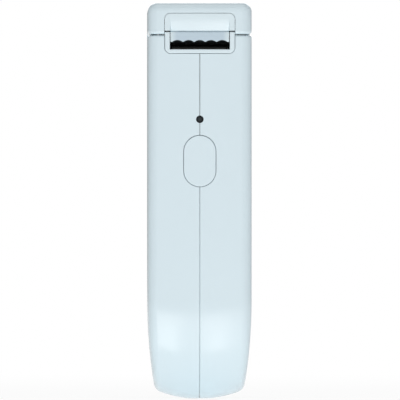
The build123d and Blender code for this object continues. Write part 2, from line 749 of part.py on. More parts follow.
def gear(teeth, phase, x0, x1, y, z, bore):
    """Spur gear on an X axle; phase is the angle of one tooth from +Y"""
    pitch = MODULE * teeth / 2
    slope = tan(radians(PRESSURE_ANGLE))
    half_tooth = pi * MODULE / 4 - BACKLASH / 2
    tip = ADDENDUM * MODULE
    root = DEDENDUM * MODULE
    profile = [
        (pitch - root, -half_tooth - root * slope),
        (pitch, -half_tooth),
        (pitch + tip, -half_tooth + tip * slope),
        (pitch + tip, half_tooth - tip * slope),
        (pitch, half_tooth),
        (pitch - root, half_tooth + root * slope),
    ]
    points = []
    for tooth in range(teeth):
        turn = phase + 2 * pi * tooth / teeth
        for radius, offset in profile:
            angle = turn + offset / radius
            points.append((y + radius * cos(angle), z + radius * sin(angle)))
    wheel = side_plate(x0, x1, points)
    return wheel - rod_x(bore, x0 - 1, x1 + 1, y, z)


def meshed_phase(teeth, phase, next_teeth, centre, next_centre):
    """Phase that sets a gap of the next gear on a tooth of this one"""
    way = atan2(next_centre[1] - centre[1], next_centre[0] - centre[0])
    return way + pi + teeth / next_teeth * (way - phase) - pi / next_teeth


def centre_distance(teeth, next_teeth):
    return MODULE * (teeth + next_teeth) / 2


def gear_centres():
    """Axle places from platen gear down to motor pinion, as (y, z)"""
    platen = (platen_y, platen_z)
    motor = (motor_y, motor_z)
    drop = sqrt(centre_distance(PLATEN_TEETH, UPPER_IDLER_TEETH) ** 2 - UPPER_IDLER_OFFSET**2)
    upper = (platen_y + UPPER_IDLER_OFFSET, platen_z - drop)
    to_upper = centre_distance(UPPER_IDLER_TEETH, LOWER_IDLER_TEETH)
    to_motor = centre_distance(LOWER_IDLER_TEETH, PINION_TEETH)
    run_y = upper[0] - motor[0]
    run_z = upper[1] - motor[1]
    span = hypot(run_y, run_z)
    along = (to_motor**2 - to_upper**2 + span**2) / (2 * span)
    aside = sqrt(to_motor**2 - along**2)
    lower = (
        motor[0] + (along * run_y + aside * run_z) / span,
        motor[1] + (along * run_z - aside * run_y) / span,
    )
    return platen, upper, lower, motor


def frame_side(x0, x1, outline):
    """One side plate of the print frame, with a slot for the roller's bush"""
    plate = side_plate(x0, x1, outline)
    slot = BUSH_DIAMETER + 2 * BUSH_SLOT_GAP
    plate -= rod_x(slot, x0 - 1, x1 + 1, platen_y, platen_z)
    plate -= box(
        x0 - 1, x1 + 1, platen_y - slot / 2, platen_y + slot / 2, platen_z, frame_top + 1
    )
    return plate - rod_x(PIVOT_PIN, x0 - 1, x1 + 1, pivot_y, pivot_z)


def print_frame():
    """Folded sheet frame of the print mechanism"""
    low = bridge_top - PLATE_THICKNESS
    upper = [
        (frame_front, low),
        (frame_front, frame_top),
        (pivot_y + 5, frame_top),
        (pivot_y + 5, pivot_z),
    ]
    left_outline = upper + [(pivot_y - 4, low)]
    reach = MOTOR_DIAMETER / 2 + 0.3
    right_outline = upper + [
        (motor_y + reach, motor_z + 6),
        (motor_y + reach, motor_z - 5),
        (motor_y + 5, motor_z - reach),
        (motor_y - 5, motor_z - reach),
        (motor_y - reach, motor_z - 5),
        (motor_y - reach, motor_z + 4),
    ]
    frame = frame_side(-plate_out, -plate_in, left_outline)
    frame += frame_side(plate_in, plate_out, right_outline)
    frame += box(-plate_in, plate_in, frame_front, frame_front + 6, low, bridge_top)
    frame -= rod_x(MOTOR_COLLAR, plate_in - 1, plate_out + 1, motor_y, motor_z)
    for y, z in motor_screw_spots:
        frame -= rod_x(MOTOR_SCREW, plate_in - 1, plate_out + 1, y, z)
    for y, z in gear_centres()[1:3]:
        frame -= rod_x(AXLE_DIAMETER, plate_in - 1, plate_out + 1, y, z)
    return frame


def idler_axle(y, z):
    """Stub axle riveted flush into the frame's side plate"""
    return rod_x(AXLE_DIAMETER, plate_in, gear_out + 0.15, y, z)


def motor_can():
    x0 = plate_in - MOTOR_LENGTH
    can = rod_x(MOTOR_DIAMETER, x0, plate_in, motor_y, motor_z)
    can = fillet(can.edges().group_by(Axis.X)[0], 0.8)
    can += rod_x(MOTOR_COLLAR, plate_in, plate_out, motor_y, motor_z)
    can -= rod_x(MOTOR_SHAFT + 2 * SHAFT_FIT, x0 + 2, plate_out + 1, motor_y, motor_z)
    for y, z in motor_screw_spots:
        can -= rod_x(MOTOR_SCREW, plate_in - 2, plate_in + 1, y, z)
    return can


def motor_shaft():
    x0 = plate_in - MOTOR_LENGTH + 2.3
    return rod_x(MOTOR_SHAFT, x0, gear_out + 0.15, motor_y, motor_z)


def small_screw(diameter, length, seat, way, y, z):
    """Pan-head screw along X; way points from the seat towards the head"""
    ends = sorted((seat, seat - way * length))
    screw = rod_x(diameter, *ends, y, z)
    face = seat + way * 0.35
    head = rod_x(diameter * 1.5, *sorted((seat, face)), y, z)
    return screw + head


def head_sink():
    """Aluminium carrier of the print head, with an eye at each end for its pivot pin"""
    y0 = platen_y - HEAD_LENGTH * 0.4
    y1 = platen_y + HEAD_LENGTH * 0.6
    top = head_top - CERAMIC_THICKNESS
    sink = box(-head_half, head_half, y0, y1, top - SINK_THICKNESS, top)
    eye = PIVOT_PIN / 2 + PIVOT_EYE
    for side in (-1, 1):
        x0, x1 = sorted((side * head_half, side * (head_half - HEAD_EAR_WIDTH)))
        ear = rod_x(2 * eye, x0, x1, pivot_y, pivot_z)
        ear += side_plate(x0, x1, [
            (y1 - 3, top - SINK_THICKNESS / 2),
            (y1, top),
            (pivot_y + eye * 0.6, pivot_z + eye * 0.8),
            (pivot_y - eye * 0.6, pivot_z - eye * 0.8),
        ])
        sink += ear
    return sink - rod_x(PIVOT_PIN + 0.1, -head_half - 1, head_half + 1, pivot_y, pivot_z)


def head_ceramic():
    """Ceramic strip with its raised heater line under the platen"""
    y0 = platen_y - HEAD_LENGTH * 0.36
    y1 = platen_y + HEAD_LENGTH * 0.6 - 0.8
    low = head_top - CERAMIC_THICKNESS
    strip = box(-head_half + 0.2, head_half - 0.2, y0, y1, low, head_top)
    return chamfer(strip.edges().filter_by(Axis.X).group_by(Axis.Z)[-1], 0.2)


def head_plug():
    """Wire connector under the rear of the head, open downwards"""
    top = head_top - CERAMIC_THICKNESS - SINK_THICKNESS
    y0 = platen_y + HEAD_LENGTH * 0.6 - 2.6
    plug = box(head_plug_x0, head_plug_x1, y0, y0 + 2.4, top - 1.8, top)
    slot = box(head_plug_x0 + 0.3, head_plug_x1 - 0.3, y0 + 0.5, y0 + 1.9, top - 2.8, top - 1.0)
    return plug - slot


def head_spring():
    """Leaf spring between the frame bridge and the head carrier"""
    base = bridge_top + LEAF_THICKNESS / 2
    top = head_top - CERAMIC_THICKNESS - SINK_THICKNESS - LEAF_THICKNESS / 2
    y0 = frame_front + 5.5
    y1 = frame_front + 1.0
    rise = (top - base) / 2
    points = [(0, y0, base), (0, y1, base), (0, y0 + 0.5, base + rise), (0, y1 + 1, top), (0, y0, top)]
    path = FilletPolyline(*points, radius=[0.8, 1.2, 0.8])
    start = Plane(origin=points[0], x_dir=(1, 0, 0), z_dir=(0, -1, 0))
    return sweep(start * Rectangle(LEAF_WIDTH, LEAF_THICKNESS), path=path)


def roll_cradle():
    """Open-topped trough for the label roll, with a shelf for the label sensor"""
    top = body_top - 0.6

    def trough(radius, half, high):
        return rod_x(2 * radius, -half, half, bay_y, bay_z) + box(
            -half, half, bay_y - radius, bay_y + radius, bay_z, high
        )

    cradle = trough(bay_outer, cradle_half, top) - trough(bay_inner, bay_half, top + 1)
    front_wall = box(
        -bay_half, bay_half, bay_front - 1, bay_front + BAY_WALL + 1, top - BAY_FRONT_LIP, top + 1
    )
    cradle -= front_wall
    shelf_top = top - SHELF_DROP
    cradle += box(-bay_half, bay_half, shelf_front, bay_front + 0.1, shelf_top - 1, shelf_top)
    return cradle


def sensor_board():
    low = body_top - 0.6 - SHELF_DROP
    return box(-7, 7, shelf_front + 0.1, bay_front - 0.1, low, low + BOARD_THICKNESS)


def label_sensor():
    """Light sensor that finds the gap between labels"""
    low = body_top - 0.6 - SHELF_DROP + BOARD_THICKNESS
    half = SENSOR_WIDTH / 2
    middle = (shelf_front + bay_front) / 2
    sensor = box(-half, half, middle - 1.3, middle + 1.3, low, low + SENSOR_HEIGHT)
    for side in (-1, 1):
        sensor -= rod_z(1.3, low + SENSOR_HEIGHT - 0.4, low + 9, side * half * 0.5, middle)
    return sensor


def platen_shaft():
    return rod_x(SHAFT_DIAMETER, -plate_out - 0.3, gear_out + 0.1, platen_y, platen_z)


def platen_roller():
    roller = rod_x(PLATEN_DIAMETER, -roller_half, roller_half, platen_y, platen_z)
    roller = chamfer(roller.edges().filter_by(GeomType.CIRCLE), 0.2)
    return roller - rod_x(SHAFT_DIAMETER, -half_width, half_width, platen_y, platen_z)


def platen_bush(side):
    """Flanged bush that seats in the arm and drops into the frame's slot"""
    x0, x1 = sorted((side * arm_in, side * (plate_out + 0.15)))
    bush = rod_x(BUSH_DIAMETER, x0, x1, platen_y, platen_z)
    return bush - rod_x(SHAFT_DIAMETER + 2 * SHAFT_FIT, x0 - 1, x1 + 1, platen_y, platen_z)


def battery_cell():
    y = BATTERY_WIDTH / 2
    x1 = battery_side + BATTERY_THICKNESS
    cell = box(battery_side, x1, -y, y, BATTERY_BOTTOM, battery_top)
    return fillet(cell.edges().filter_by(Axis.Z), BATTERY_EDGE_ROUND)


def battery_board():
    """Protection circuit folded over the top edge of the cell"""
    x1 = battery_side + BATTERY_THICKNESS
    return box(battery_side + 2, x1 - 2, -BATTERY_WIDTH / 2 + 1, 4, battery_top, battery_top + 0.8)


def battery_pad(low):
    half = BATTERY_WIDTH / 2 - 4
    return box(-inner_x, battery_side, -half, half, low, low + FOAM_PAD_HEIGHT)


def main_board():
    outline = box(board_in, board_out, board_front, board_rear, MAIN_BOARD_BOTTOM, board_top)
    board = fillet(outline.edges().filter_by(Axis.X), 1.5)
    for y, z in main_board_screws:
        board -= rod_x(BOARD_SCREW, board_in - 1, board_out + 1, y, z)
    return board


def chip(thickness, y, width, height):
    """Component in the row along the main board"""
    return on_board(thickness, y, y + width, chip_top - height, chip_top)


def on_board(height, y0, y1, z0, z1):
    """Block on the outer face of the main board"""
    return box(board_out, board_out + height, y0, y1, z0, z1)


def top_plug(y0, y1):
    """Wire connector at the board's top edge, open upwards"""
    plug = on_board(PLUG_DEPTH, y0, y1, board_top - 6, board_top - 1)
    slot = box(
        board_out + 0.8, board_out + PLUG_DEPTH - 0.8, y0 + 0.4, y1 - 0.4, board_top - 3, board_top
    )
    return plug - slot


def front_cable_plug():
    """Wire connector on the main board, open towards the front"""
    low = front_plug_z
    plug = on_board(3.0, board_front + 1, board_front + 5, low, low + 4)
    x = board_out + PLUG_DEPTH / 2
    return plug - box(x - 0.6, x + 0.6, board_front, board_front + 3, low + 0.4, low + 3.6)


def usb_shell():
    y1 = rear - USB_SETBACK
    y0 = y1 - USB_LENGTH
    outer = stadium_y(USB_HEIGHT, USB_WIDTH, y0, y1, USB_Z)
    bore = 2 * USB_WALL
    return outer - stadium_y(USB_HEIGHT - bore, USB_WIDTH - bore, y0 + 1.0, y1 + 1, USB_Z)


def usb_tongue():
    y1 = rear - USB_SETBACK
    y0 = y1 - USB_LENGTH
    half = (USB_WIDTH - 2 * USB_WALL) / 2
    tongue = box(-0.35, 0.35, y0 + 1.0, y1 - 0.9, USB_Z - 3.35, USB_Z + 3.35)
    return tongue + box(-0.9, 0.9, y0 + 1.0, y0 + 2.4, USB_Z - half + 1.2, USB_Z + half - 1.2)


def wire(points, diameter):
    """Round wire along straight runs joined by the largest arcs that fit"""
    spots = [Vector(*point) for point in points]
    radii = []
    for before, corner, after in zip(spots, spots[1:], spots[2:]):
        turn = radians((corner - before).get_angle(after - corner))
        run = min((corner - before).length, (after - corner).length)
        radii.append(0.45 * run / tan(turn / 2))
    path = FilletPolyline(*spots, radius=radii)
    section = Plane(origin=path @ 0, z_dir=path % 0) * Circle(diameter / 2)
    tube = sweep(section, path=path)
    expected = pi * diameter**2 / 4 * path.length
    print("wire radii", [round(radius, 1) for radius in radii], round(tube.volume / expected, 3))
    return tube


def battery_wire(order):
    """One lead from the cell's circuit board over the main board to its plug"""
    y = battery_plug_y + 1.2 + 1.6 * order
    x0 = battery_side + 3.4 + 1.2 * order
    x1 = board_out + PLUG_DEPTH / 2
    return wire([
        (x0, y, battery_top + 0.8),
        (x0, y, battery_top + 4),
        (x0 + 5, y, battery_top + 6.6),
        (x1, y, battery_top + 4),
        (x1, y, board_top - 3),
    ], POWER_WIRE)


def motor_wire(order):
    y = motor_plug_y + 0.9 + WIRE_PITCH * order
    x1 = board_out + PLUG_DEPTH / 2
    x0 = plate_in - MOTOR_LENGTH + 2 + WIRE_PITCH * order
    below = motor_z - MOTOR_DIAMETER / 2
    start_y = motor_y + 1.5
    lift = sqrt((MOTOR_DIAMETER / 2) ** 2 - 1.5**2)
    return wire([
        (x0, start_y, motor_z - lift),
        (x0, start_y, below - 4),
        (x1, y, board_top + 5),
        (x1, y, board_top - 3),
    ], SIGNAL_WIRE)


def head_wire(order):
    y = head_plug_y + 0.9 + WIRE_PITCH * order
    x0 = head_plug_x1 - 0.6 - HEAD_WIRE_PITCH * order
    aside = plate_in - MOTOR_LENGTH - 1.1 - HEAD_WIRE_PITCH * order
    below = motor_z - MOTOR_DIAMETER / 2 - WIRE_MOTOR_GAP
    x1 = board_out + PLUG_DEPTH / 2
    top = head_top - CERAMIC_THICKNESS - SINK_THICKNESS - 1.0
    start_y = platen_y + HEAD_LENGTH * 0.6 - 1.4
    return wire([
        (x0, start_y, top),
        (x0, start_y, top - 3.5),
        (aside, start_y, top - 7),
        (aside, start_y + 0.6, below),
        (x1, y, board_top + 4),
        (x1, y, board_top - 3),
    ], SIGNAL_WIRE)


def front_board_wire(order):
    x0 = WIRE_PITCH * (order - 1)
    low = front_board_bottom + 1.5
    start_y = front_board_back + 1.0
    z = front_plug_z + 1.0 + WIRE_PITCH * order
    x1 = board_out + PLUG_DEPTH / 2
    return wire([
        (x0, start_y, low),
        (x0, start_y, low - 6),
        (x1, start_y + 2, z + 0.5),
        (x1, board_front + 3, z),
    ], SIGNAL_WIRE)


def motor_screw_places():
    """Two screws on either side of the line from motor to lower idler"""
    lower, motor = gear_centres()[2:]
    span = hypot(lower[0] - motor[0], lower[1] - motor[1])
    across_y = (lower[1] - motor[1]) / span * MOTOR_SCREW_CIRCLE
    across_z = (lower[0] - motor[0]) / span * MOTOR_SCREW_CIRCLE
    return [(motor[0] + way * across_y, motor[1] - way * across_z) for way in (-1, 1)]


motor_screw_spots = motor_screw_places()
platen_centre, upper_centre, lower_centre, motor_centre = gear_centres()
platen_phase = 0.0
upper_phase = meshed_phase(
    PLATEN_TEETH, platen_phase, UPPER_IDLER_TEETH, platen_centre, upper_centre
)
lower_phase = meshed_phase(
    UPPER_IDLER_TEETH, upper_phase, LOWER_IDLER_TEETH, upper_centre, lower_centre
)
pinion_phase = meshed_phase(
    LOWER_IDLER_TEETH, lower_phase, PINION_TEETH, lower_centre, motor_centre
)
axle_bore = AXLE_DIAMETER + 2 * AXLE_FIT
outside = outer_form()
inside = casing_form(WALL)
tub = shell_tub(outside, inside) - seam_cut(outside)
knuckle_pin = KNUCKLE_LENGTH / 2 + LUG_GAP + LUG_WIDTH
battery_pads = [battery_pad(low) for low in foam_pad_lows]

parts = {
    "left_shell": left_shell(tub),
    "right_shell": right_shell(tub),
    "shell_screws": solids_of([shell_screw(y, z) for y, z in shell_bosses]),
    "lid_shell": lid_shell(outside, inside),
    "lid_frame": lid_frame(outside),
    "lid_screws": solids_of([lid_screw(x, y) for x, y in lid_screw_spots]),
    "hinge_pin": rod_x(HINGE_PIN, -knuckle_pin, knuckle_pin, hinge_y, hinge_z),
    "tear_bar": tear_bar(),
    "exit_bezel": exit_bezel(),
    "button_cap": button_cap(outside),
    "button_switch": switch_body(),
    "switch_plunger": switch_plunger(),
    "status_light_lens": light_lens(),
    "status_led": status_led(),
    "front_board": front_board(),
    "front_board_plug": front_board_plug(),
    "print_frame": print_frame(),
    "head_carrier": head_sink(),
    "print_head": head_ceramic(),
    "head_plug": head_plug(),
    "head_pivot_pin": rod_x(PIVOT_PIN, -plate_out, plate_out, pivot_y, pivot_z),
    "head_spring": head_spring(),
    "platen_roller": platen_roller(),
    "platen_shaft": platen_shaft(),
    "platen_bushes": solids_of([platen_bush(-1), platen_bush(1)]),
    "platen_gear": gear(
        PLATEN_TEETH, platen_phase, gear_in, gear_out, *platen_centre, SHAFT_DIAMETER
    ),
    "upper_idler_gear": gear(
        UPPER_IDLER_TEETH, upper_phase, gear_in, gear_out, *upper_centre, axle_bore
    ),
    "lower_idler_gear": gear(
        LOWER_IDLER_TEETH, lower_phase, gear_in, gear_out, *lower_centre, axle_bore
    ),
    "idler_axles": solids_of([idler_axle(*upper_centre), idler_axle(*lower_centre)]),
    "motor_pinion": gear(PINION_TEETH, pinion_phase, gear_in, gear_out, *motor_centre, MOTOR_SHAFT),
    "motor_shaft": motor_shaft(),
    "motor_can": motor_can(),
    "motor_screws": solids_of([
        small_screw(MOTOR_SCREW, 2.6, plate_out, 1, y, z) for y, z in motor_screw_spots
    ]),
    "roll_cradle": roll_cradle(),
    "sensor_board": sensor_board(),
    "label_sensor": label_sensor(),
    "battery_cell": battery_cell(),
    "battery_board": battery_board(),
    "battery_pads": solids_of(battery_pads),
    "main_board": main_board(),
    "main_board_screws": solids_of([
        small_screw(BOARD_SCREW, 4.5, board_in, -1, y, z) for y, z in main_board_screws
    ]),
    "processor_chip": chip(CHIP_THICKNESS, processor_y, PROCESSOR_SIZE, PROCESSOR_SIZE),
    "wireless_module": chip(RADIO_THICKNESS, radio_y, RADIO_WIDTH, RADIO_HEIGHT),
    "motor_driver_chip": chip(CHIP_THICKNESS, driver_y, DRIVER_SIZE, DRIVER_SIZE),
    "power_inductor": chip(INDUCTOR_HEIGHT, inductor_y, INDUCTOR_SIZE, INDUCTOR_SIZE),
    "battery_plug": top_plug(battery_plug_y, battery_plug_y + 4),
    "motor_plug": top_plug(motor_plug_y, motor_plug_y + 4.8),
    "head_cable_plug": top_plug(head_plug_y, head_plug_y + 5.8),
    "front_cable_plug": front_cable_plug(),
    "usb_socket_shell": usb_shell(),
    "usb_socket_tongue": usb_tongue(),
    "battery_wires": solids_of([battery_wire(order) for order in range(2)]),
    "motor_wires": solids_of([motor_wire(order) for order in range(4)]),
    "head_wires": solids_of([head_wire(order) for order in range(5)]),
    "front_board_wires": solids_of([front_board_wire(order) for order in range(3)]),
}

os.makedirs("parts", exist_ok=True)
for name, shape in parts.items():
    export_step(shape, f"parts/{name}.step")
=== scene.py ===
import json
import math

import bpy
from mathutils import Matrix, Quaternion, Vector


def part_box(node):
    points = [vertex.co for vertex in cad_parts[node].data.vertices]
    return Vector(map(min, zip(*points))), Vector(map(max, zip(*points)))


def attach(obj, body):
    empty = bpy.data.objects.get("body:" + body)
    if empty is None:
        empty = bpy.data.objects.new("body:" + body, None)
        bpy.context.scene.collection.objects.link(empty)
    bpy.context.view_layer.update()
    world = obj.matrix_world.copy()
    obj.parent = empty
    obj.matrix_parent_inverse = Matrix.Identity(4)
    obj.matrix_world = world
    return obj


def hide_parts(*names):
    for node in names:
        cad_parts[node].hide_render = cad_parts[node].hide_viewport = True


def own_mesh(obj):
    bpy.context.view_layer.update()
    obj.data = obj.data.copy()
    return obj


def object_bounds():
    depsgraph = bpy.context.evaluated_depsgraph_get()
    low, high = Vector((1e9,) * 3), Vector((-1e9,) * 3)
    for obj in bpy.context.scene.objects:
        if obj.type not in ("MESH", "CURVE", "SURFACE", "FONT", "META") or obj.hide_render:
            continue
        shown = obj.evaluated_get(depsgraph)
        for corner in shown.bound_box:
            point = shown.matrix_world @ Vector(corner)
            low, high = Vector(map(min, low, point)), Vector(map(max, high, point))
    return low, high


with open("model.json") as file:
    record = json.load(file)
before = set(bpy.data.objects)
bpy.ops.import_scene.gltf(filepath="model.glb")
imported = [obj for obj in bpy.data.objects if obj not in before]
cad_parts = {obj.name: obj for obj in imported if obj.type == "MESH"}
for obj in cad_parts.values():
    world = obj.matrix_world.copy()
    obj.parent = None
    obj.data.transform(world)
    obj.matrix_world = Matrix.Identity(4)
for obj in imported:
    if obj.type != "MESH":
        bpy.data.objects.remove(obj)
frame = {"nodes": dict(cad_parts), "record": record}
cad_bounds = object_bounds()

# Camera, in metres and degrees
PHOTO_WIDTH = 0.1110
CAMERA_DISTANCE = 5.0
CAMERA_AZIMUTH = -0.35
CAMERA_REACH = 50
SENSOR_WIDTH = 36.0
AIM_X = 0.00005
AIM_Z = 0.0553

# Studio, in metres, watts and degrees
WHITE = (1, 1, 1, 1)
FLOOR_SIZE = 12
FLOOR_PAPER = (0.95, 0.95, 0.95, 1)
SKY_TINT = (0.97, 0.985, 1.0, 1)
SKY_LEVEL = 0.33
BODY_AIM = (0, 0, 0.05)
FOOT_AIM = (0, -0.03, 0.02)
# name, place, aim, width, height, power, lean
LAMPS = [
    ("front_light", (0.0, -1.6, 0.5), BODY_AIM, 0.9, 3.0, 7.0, 0.0),
    ("top_light", (0.0, 0.0, 1.7), BODY_AIM, 1.2, 1.2, 6.2, 0.0),
    ("rear_light", (0.0, 1.6, 0.7), BODY_AIM, 1.4, 1.0, 9.0, 0.0),
    ("left_strip", (-0.29, -1.16, -0.92), FOOT_AIM, 0.09, 1.3, 4.15, -15.0),
    ("right_strip", (0.17, -1.18, -0.90), FOOT_AIM, 0.18, 1.3, 5.5, 9.0),
]

# Casing
CASING_TINT = (0.737, 0.858, 0.910)
TRIM_TINT = (0.752, 0.868, 0.915)
SEAMED_NODES = ("left_shell", "right_shell")
# share of the painted shade in the parting groove that is left at the bottom of the casing
SEAM_SHADE_LOW = 0.25

# Edges of the pieces made here
EDGE_SEGMENTS = 2
EDGE_ANGLE = math.radians(50)
SMOOTH_ANGLE = math.radians(40)

# Lengths from here on are in millimetres, and MM turns them into metres
MM = 0.001
GROOVE_FLOOR = 0.10
GROOVE_RIM = 0.125
# size of the patches in the painted shade of the parting groove
SEAM_SHADE_PATCH = 5.0
SPANGLE = 1.6
TRACK_PITCH = 5.2
PAD_PITCH = 2.1
FEEDER_PITCH = 0.25
FOAM_CELL = 0.35
WELD_GAP = 0.001

BEAD_RADIUS = 0.45
BEAD_FLATNESS = 0.2
BEAD_DEPTH = 0.03
BEAD_SHORTFALL = 0.6
BEAD_EDGE = 0.04

PART_LENGTH = 1.6
PART_WIDTH = 0.8
PART_HEIGHT = 0.45
PART_END = 0.3
BODY_INSET = (0.1, 0.06, 0.04)
BODY_EDGE = 0.04
END_EDGE = 0.05
# y, z and whether the part stands upright
MAIN_BOARD_PARTS = [
    (-3.2, 39.4, False), (-0.6, 39.4, False), (2.0, 39.4, False), (4.3, 46.6, True),
    (4.3, 43.4, True), (6.4, 42.6, False), (8.9, 42.6, False), (10.8, 46.4, True),
    (13.2, 42.2, False), (15.6, 42.2, False), (18.4, 46.6, True), (18.4, 44.0, True),
    (-17.2, 30.6, False), (-14.6, 30.6, False), (-8.0, 30.6, False), (24.4, 39.0, False),
    (24.4, 37.0, False), (24.4, 34.6, False), (24.4, 32.6, False), (-4.6, 52.4, True),
    (-2.8, 52.4, True), (0.6, 52.4, True), (10.0, 36.0, True), (12.0, 36.0, True),
    (14.0, 36.0, True),
]
# x and y
SENSOR_BOARD_PARTS = [(-5.4, -16.6), (-4.0, -16.6), (4.0, -16.6), (5.4, -16.6)]


class Wire:
    """A socket of a node tree, on which plain arithmetic adds Math nodes"""

    def __init__(self, tree, socket):
        self.tree = tree
        self.socket = socket

    def maths(self, operation, first, second):
        return self.tree.add("ShaderNodeMath", {"operation": operation}, {0: first, 1: second})

    def __add__(self, other):
        return self.maths("ADD", self, other)

    def __radd__(self, other):
        return self.maths("ADD", other, self)

    def __sub__(self, other):
        return self.maths("SUBTRACT", self, other)

    def __rsub__(self, other):
        return self.maths("SUBTRACT", other, self)

    def __mul__(self, other):
        return self.maths("MULTIPLY", self, other)

    def __rmul__(self, other):
        return self.maths("MULTIPLY", other, self)


class NodeTree:
    """An emptied node tree, with one method that adds any node and links its sockets"""

    def __init__(self, owner):
        owner.use_nodes = True
        self.nodes = owner.node_tree.nodes
        self.links = owner.node_tree.links
        self.nodes.clear()

    def add(self, kind, settings=None, sockets=None, output=0):
        node = self.nodes.new(kind)
        for key, value in (settings or {}).items():
            if key == "stops":
                self.set_stops(node.color_ramp, value)
            else:
                setattr(node, key, value)
        for key, value in (sockets or {}).items():
            if isinstance(value, Wire):
                self.links.new(value.socket, node.inputs[key])
            else:
                node.inputs[key].default_value = value
        return Wire(self, node.outputs[output]) if node.outputs else node

    @staticmethod
    def set_stops(ramp, stops):
        while len(ramp.elements) < len(stops):
            ramp.elements.new(0.5)
        for element, (place, level) in zip(ramp.elements, stops):
            element.position = place
            element.color = (level, level, level, 1)


class Finish(NodeTree):
    """A material, with the patterns that several finishes share"""

    def __init__(self, name):
        self.material = bpy.data.materials.new(name)
        super().__init__(self.material)

    def place(self):
        return self.add("ShaderNodeTexCoord", output="Object")

    def along(self, axis):
        """Place along one axis"""
        return self.add("ShaderNodeSeparateXYZ", {}, {0: self.place()}, axis)

    def stretched(self, scale):
        return self.add("ShaderNodeMapping", {}, {"Vector": self.place(), "Scale": scale})

    def noise(self, size, detail=3.0, vector=None, roughness=0.5):
        """Soft noise whose lumps are of a size in millimetres"""
        sockets = {
            "Vector": vector or self.place(), "Scale": 1 / (size * MM),
            "Detail": detail, "Roughness": roughness,
        }
        return self.add("ShaderNodeTexNoise", {}, sockets)

    def cells(self, size, output):
        """Voronoi cells of a size in millimetres"""
        sockets = {"Vector": self.place(), "Scale": 1 / (size * MM)}
        return self.add("ShaderNodeTexVoronoi", {}, sockets, output)

    def ramp(self, value, *stops):
        return self.add("ShaderNodeValToRGB", {"stops": stops}, {0: value})

    def unsigned(self, value):
        return self.add("ShaderNodeMath", {"operation": "ABSOLUTE"}, {0: value})

    def blend(self, share, one, other):
        """Colour that goes from one to the other by a share"""
        sockets = {0: share, 6: opaque(one), 7: opaque(other)}
        return self.add("ShaderNodeMix", {"data_type": "RGBA"}, sockets, 2)

    def bump(self, height, depth, strength=1.0):
        """Normal of a relief whose full height is a depth in millimetres"""
        sockets = {"Height": height, "Distance": depth * MM, "Strength": strength}
        return self.add("ShaderNodeBump", {}, sockets)

    def done(self, **sockets):
        values = {key.replace("_", " "): value for key, value in sockets.items()}
        shader = self.add("ShaderNodeBsdfPrincipled", {}, values)
        self.add("ShaderNodeOutputMaterial", {}, {"Surface": shader})
        return self.material


def opaque(colour):
    return colour if isinstance(colour, Wire) else (*colour, 1)


def shade(colour, factor):
    return tuple(min(channel * factor, 1) for channel in colour)


def moulded(name, colour, roughness, grain=0.22, relief=0.006, drift=0.02, seam_shaded=False):
    """Moulded plastic: a fine spark-eroded grain, and a slow drift of tone over the surface"""
    finish = Finish(name)
    texture = finish.noise(grain, 2.0)
    slow = finish.noise(21.0, 2.0)
    tone = finish.blend(slow, shade(colour, 1 - drift), shade(colour, 1 + drift))
    # painted shade: the colour is darkened inside the parting groove
    if seam_shaded:
        tone = finish.blend(painted_seam_shade(finish), tone, shade(colour, 0.42))
    return finish.done(
        Base_Color=tone,
        Roughness=roughness + 0.07 * (texture - 0.5) + 0.06 * (slow - 0.5),
        Normal=finish.bump(texture, relief),
    )


def painted_seam_shade(finish):
    """Share of painted shade, in patches, inside the parting groove of the casing halves,
    fainter lower down
    """
    off_middle = finish.unsigned(finish.along("X")) * (1 / MM)
    inside = finish.ramp(off_middle, (GROOVE_FLOOR, 1), (GROOVE_RIM, 0))
    patchy = finish.ramp(finish.noise(SEAM_SHADE_PATCH), (0.25, 0.7), (0.7, 1))
    up = finish.along("Z") * (1 / cad_bounds[1].z)
    lower_fade = finish.ramp(up, (0.35, SEAM_SHADE_LOW), (0.8, 1))
    return inside * patchy * lower_fade


def polished(name, colour, roughness, drift=0.03):
    """Smooth engineering plastic with faint flow marks"""
    finish = Finish(name)
    flow = finish.noise(3.2, 3.0, finish.stretched((1, 1, 0.25)))
    tone = finish.blend(flow, shade(colour, 1 - drift), shade(colour, 1 + drift))
    return finish.done(
        Base_Color=tone,
        Roughness=roughness + 0.12 * (flow - 0.5),
        Normal=finish.bump(flow, 0.004),
    )


def ground_metal(name, colour, roughness, stretch, grain=0.5):
    """Metal with fine marks drawn out along the axis that the stretch leaves small"""
    finish = Finish(name)
    marks = finish.noise(grain, 4.0, finish.stretched(stretch), 0.65)
    stain = finish.noise(6.0)
    tone = finish.blend(marks * 0.6 + stain * 0.4, shade(colour, 0.86), shade(colour, 1.08))
    return finish.done(
        Base_Color=tone,
        Metallic=1.0,
        Roughness=roughness + 0.22 * (marks - 0.5) + 0.1 * (stain - 0.5),
        Normal=finish.bump(marks, 0.002),
    )


def tear_steel(name):
    """Satin strip, drawn along its length, with painted light that makes it paler where it wraps
    round to its ends
    """
    finish = Finish(name)
    low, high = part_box("tear_bar")
    marks = finish.noise(0.5, 4.0, finish.stretched((0.06, 1, 1)), 0.65)
    outwards = finish.unsigned(finish.along("X")) * (2 / (high.x - low.x))
    # painted light: the ends are lightened in the base colour
    ends = finish.ramp(outwards, (0.78, 0), (0.96, 1))
    drawn = finish.blend(marks, (0.44, 0.53, 0.595), (0.505, 0.605, 0.67))
    return finish.done(
        Base_Color=finish.blend(ends * 0.6, drawn, (0.68, 0.765, 0.775)),
        Metallic=0.95,
        Roughness=0.42 + 0.16 * (marks - 0.5),
        Normal=finish.bump(marks, 0.002),
    )


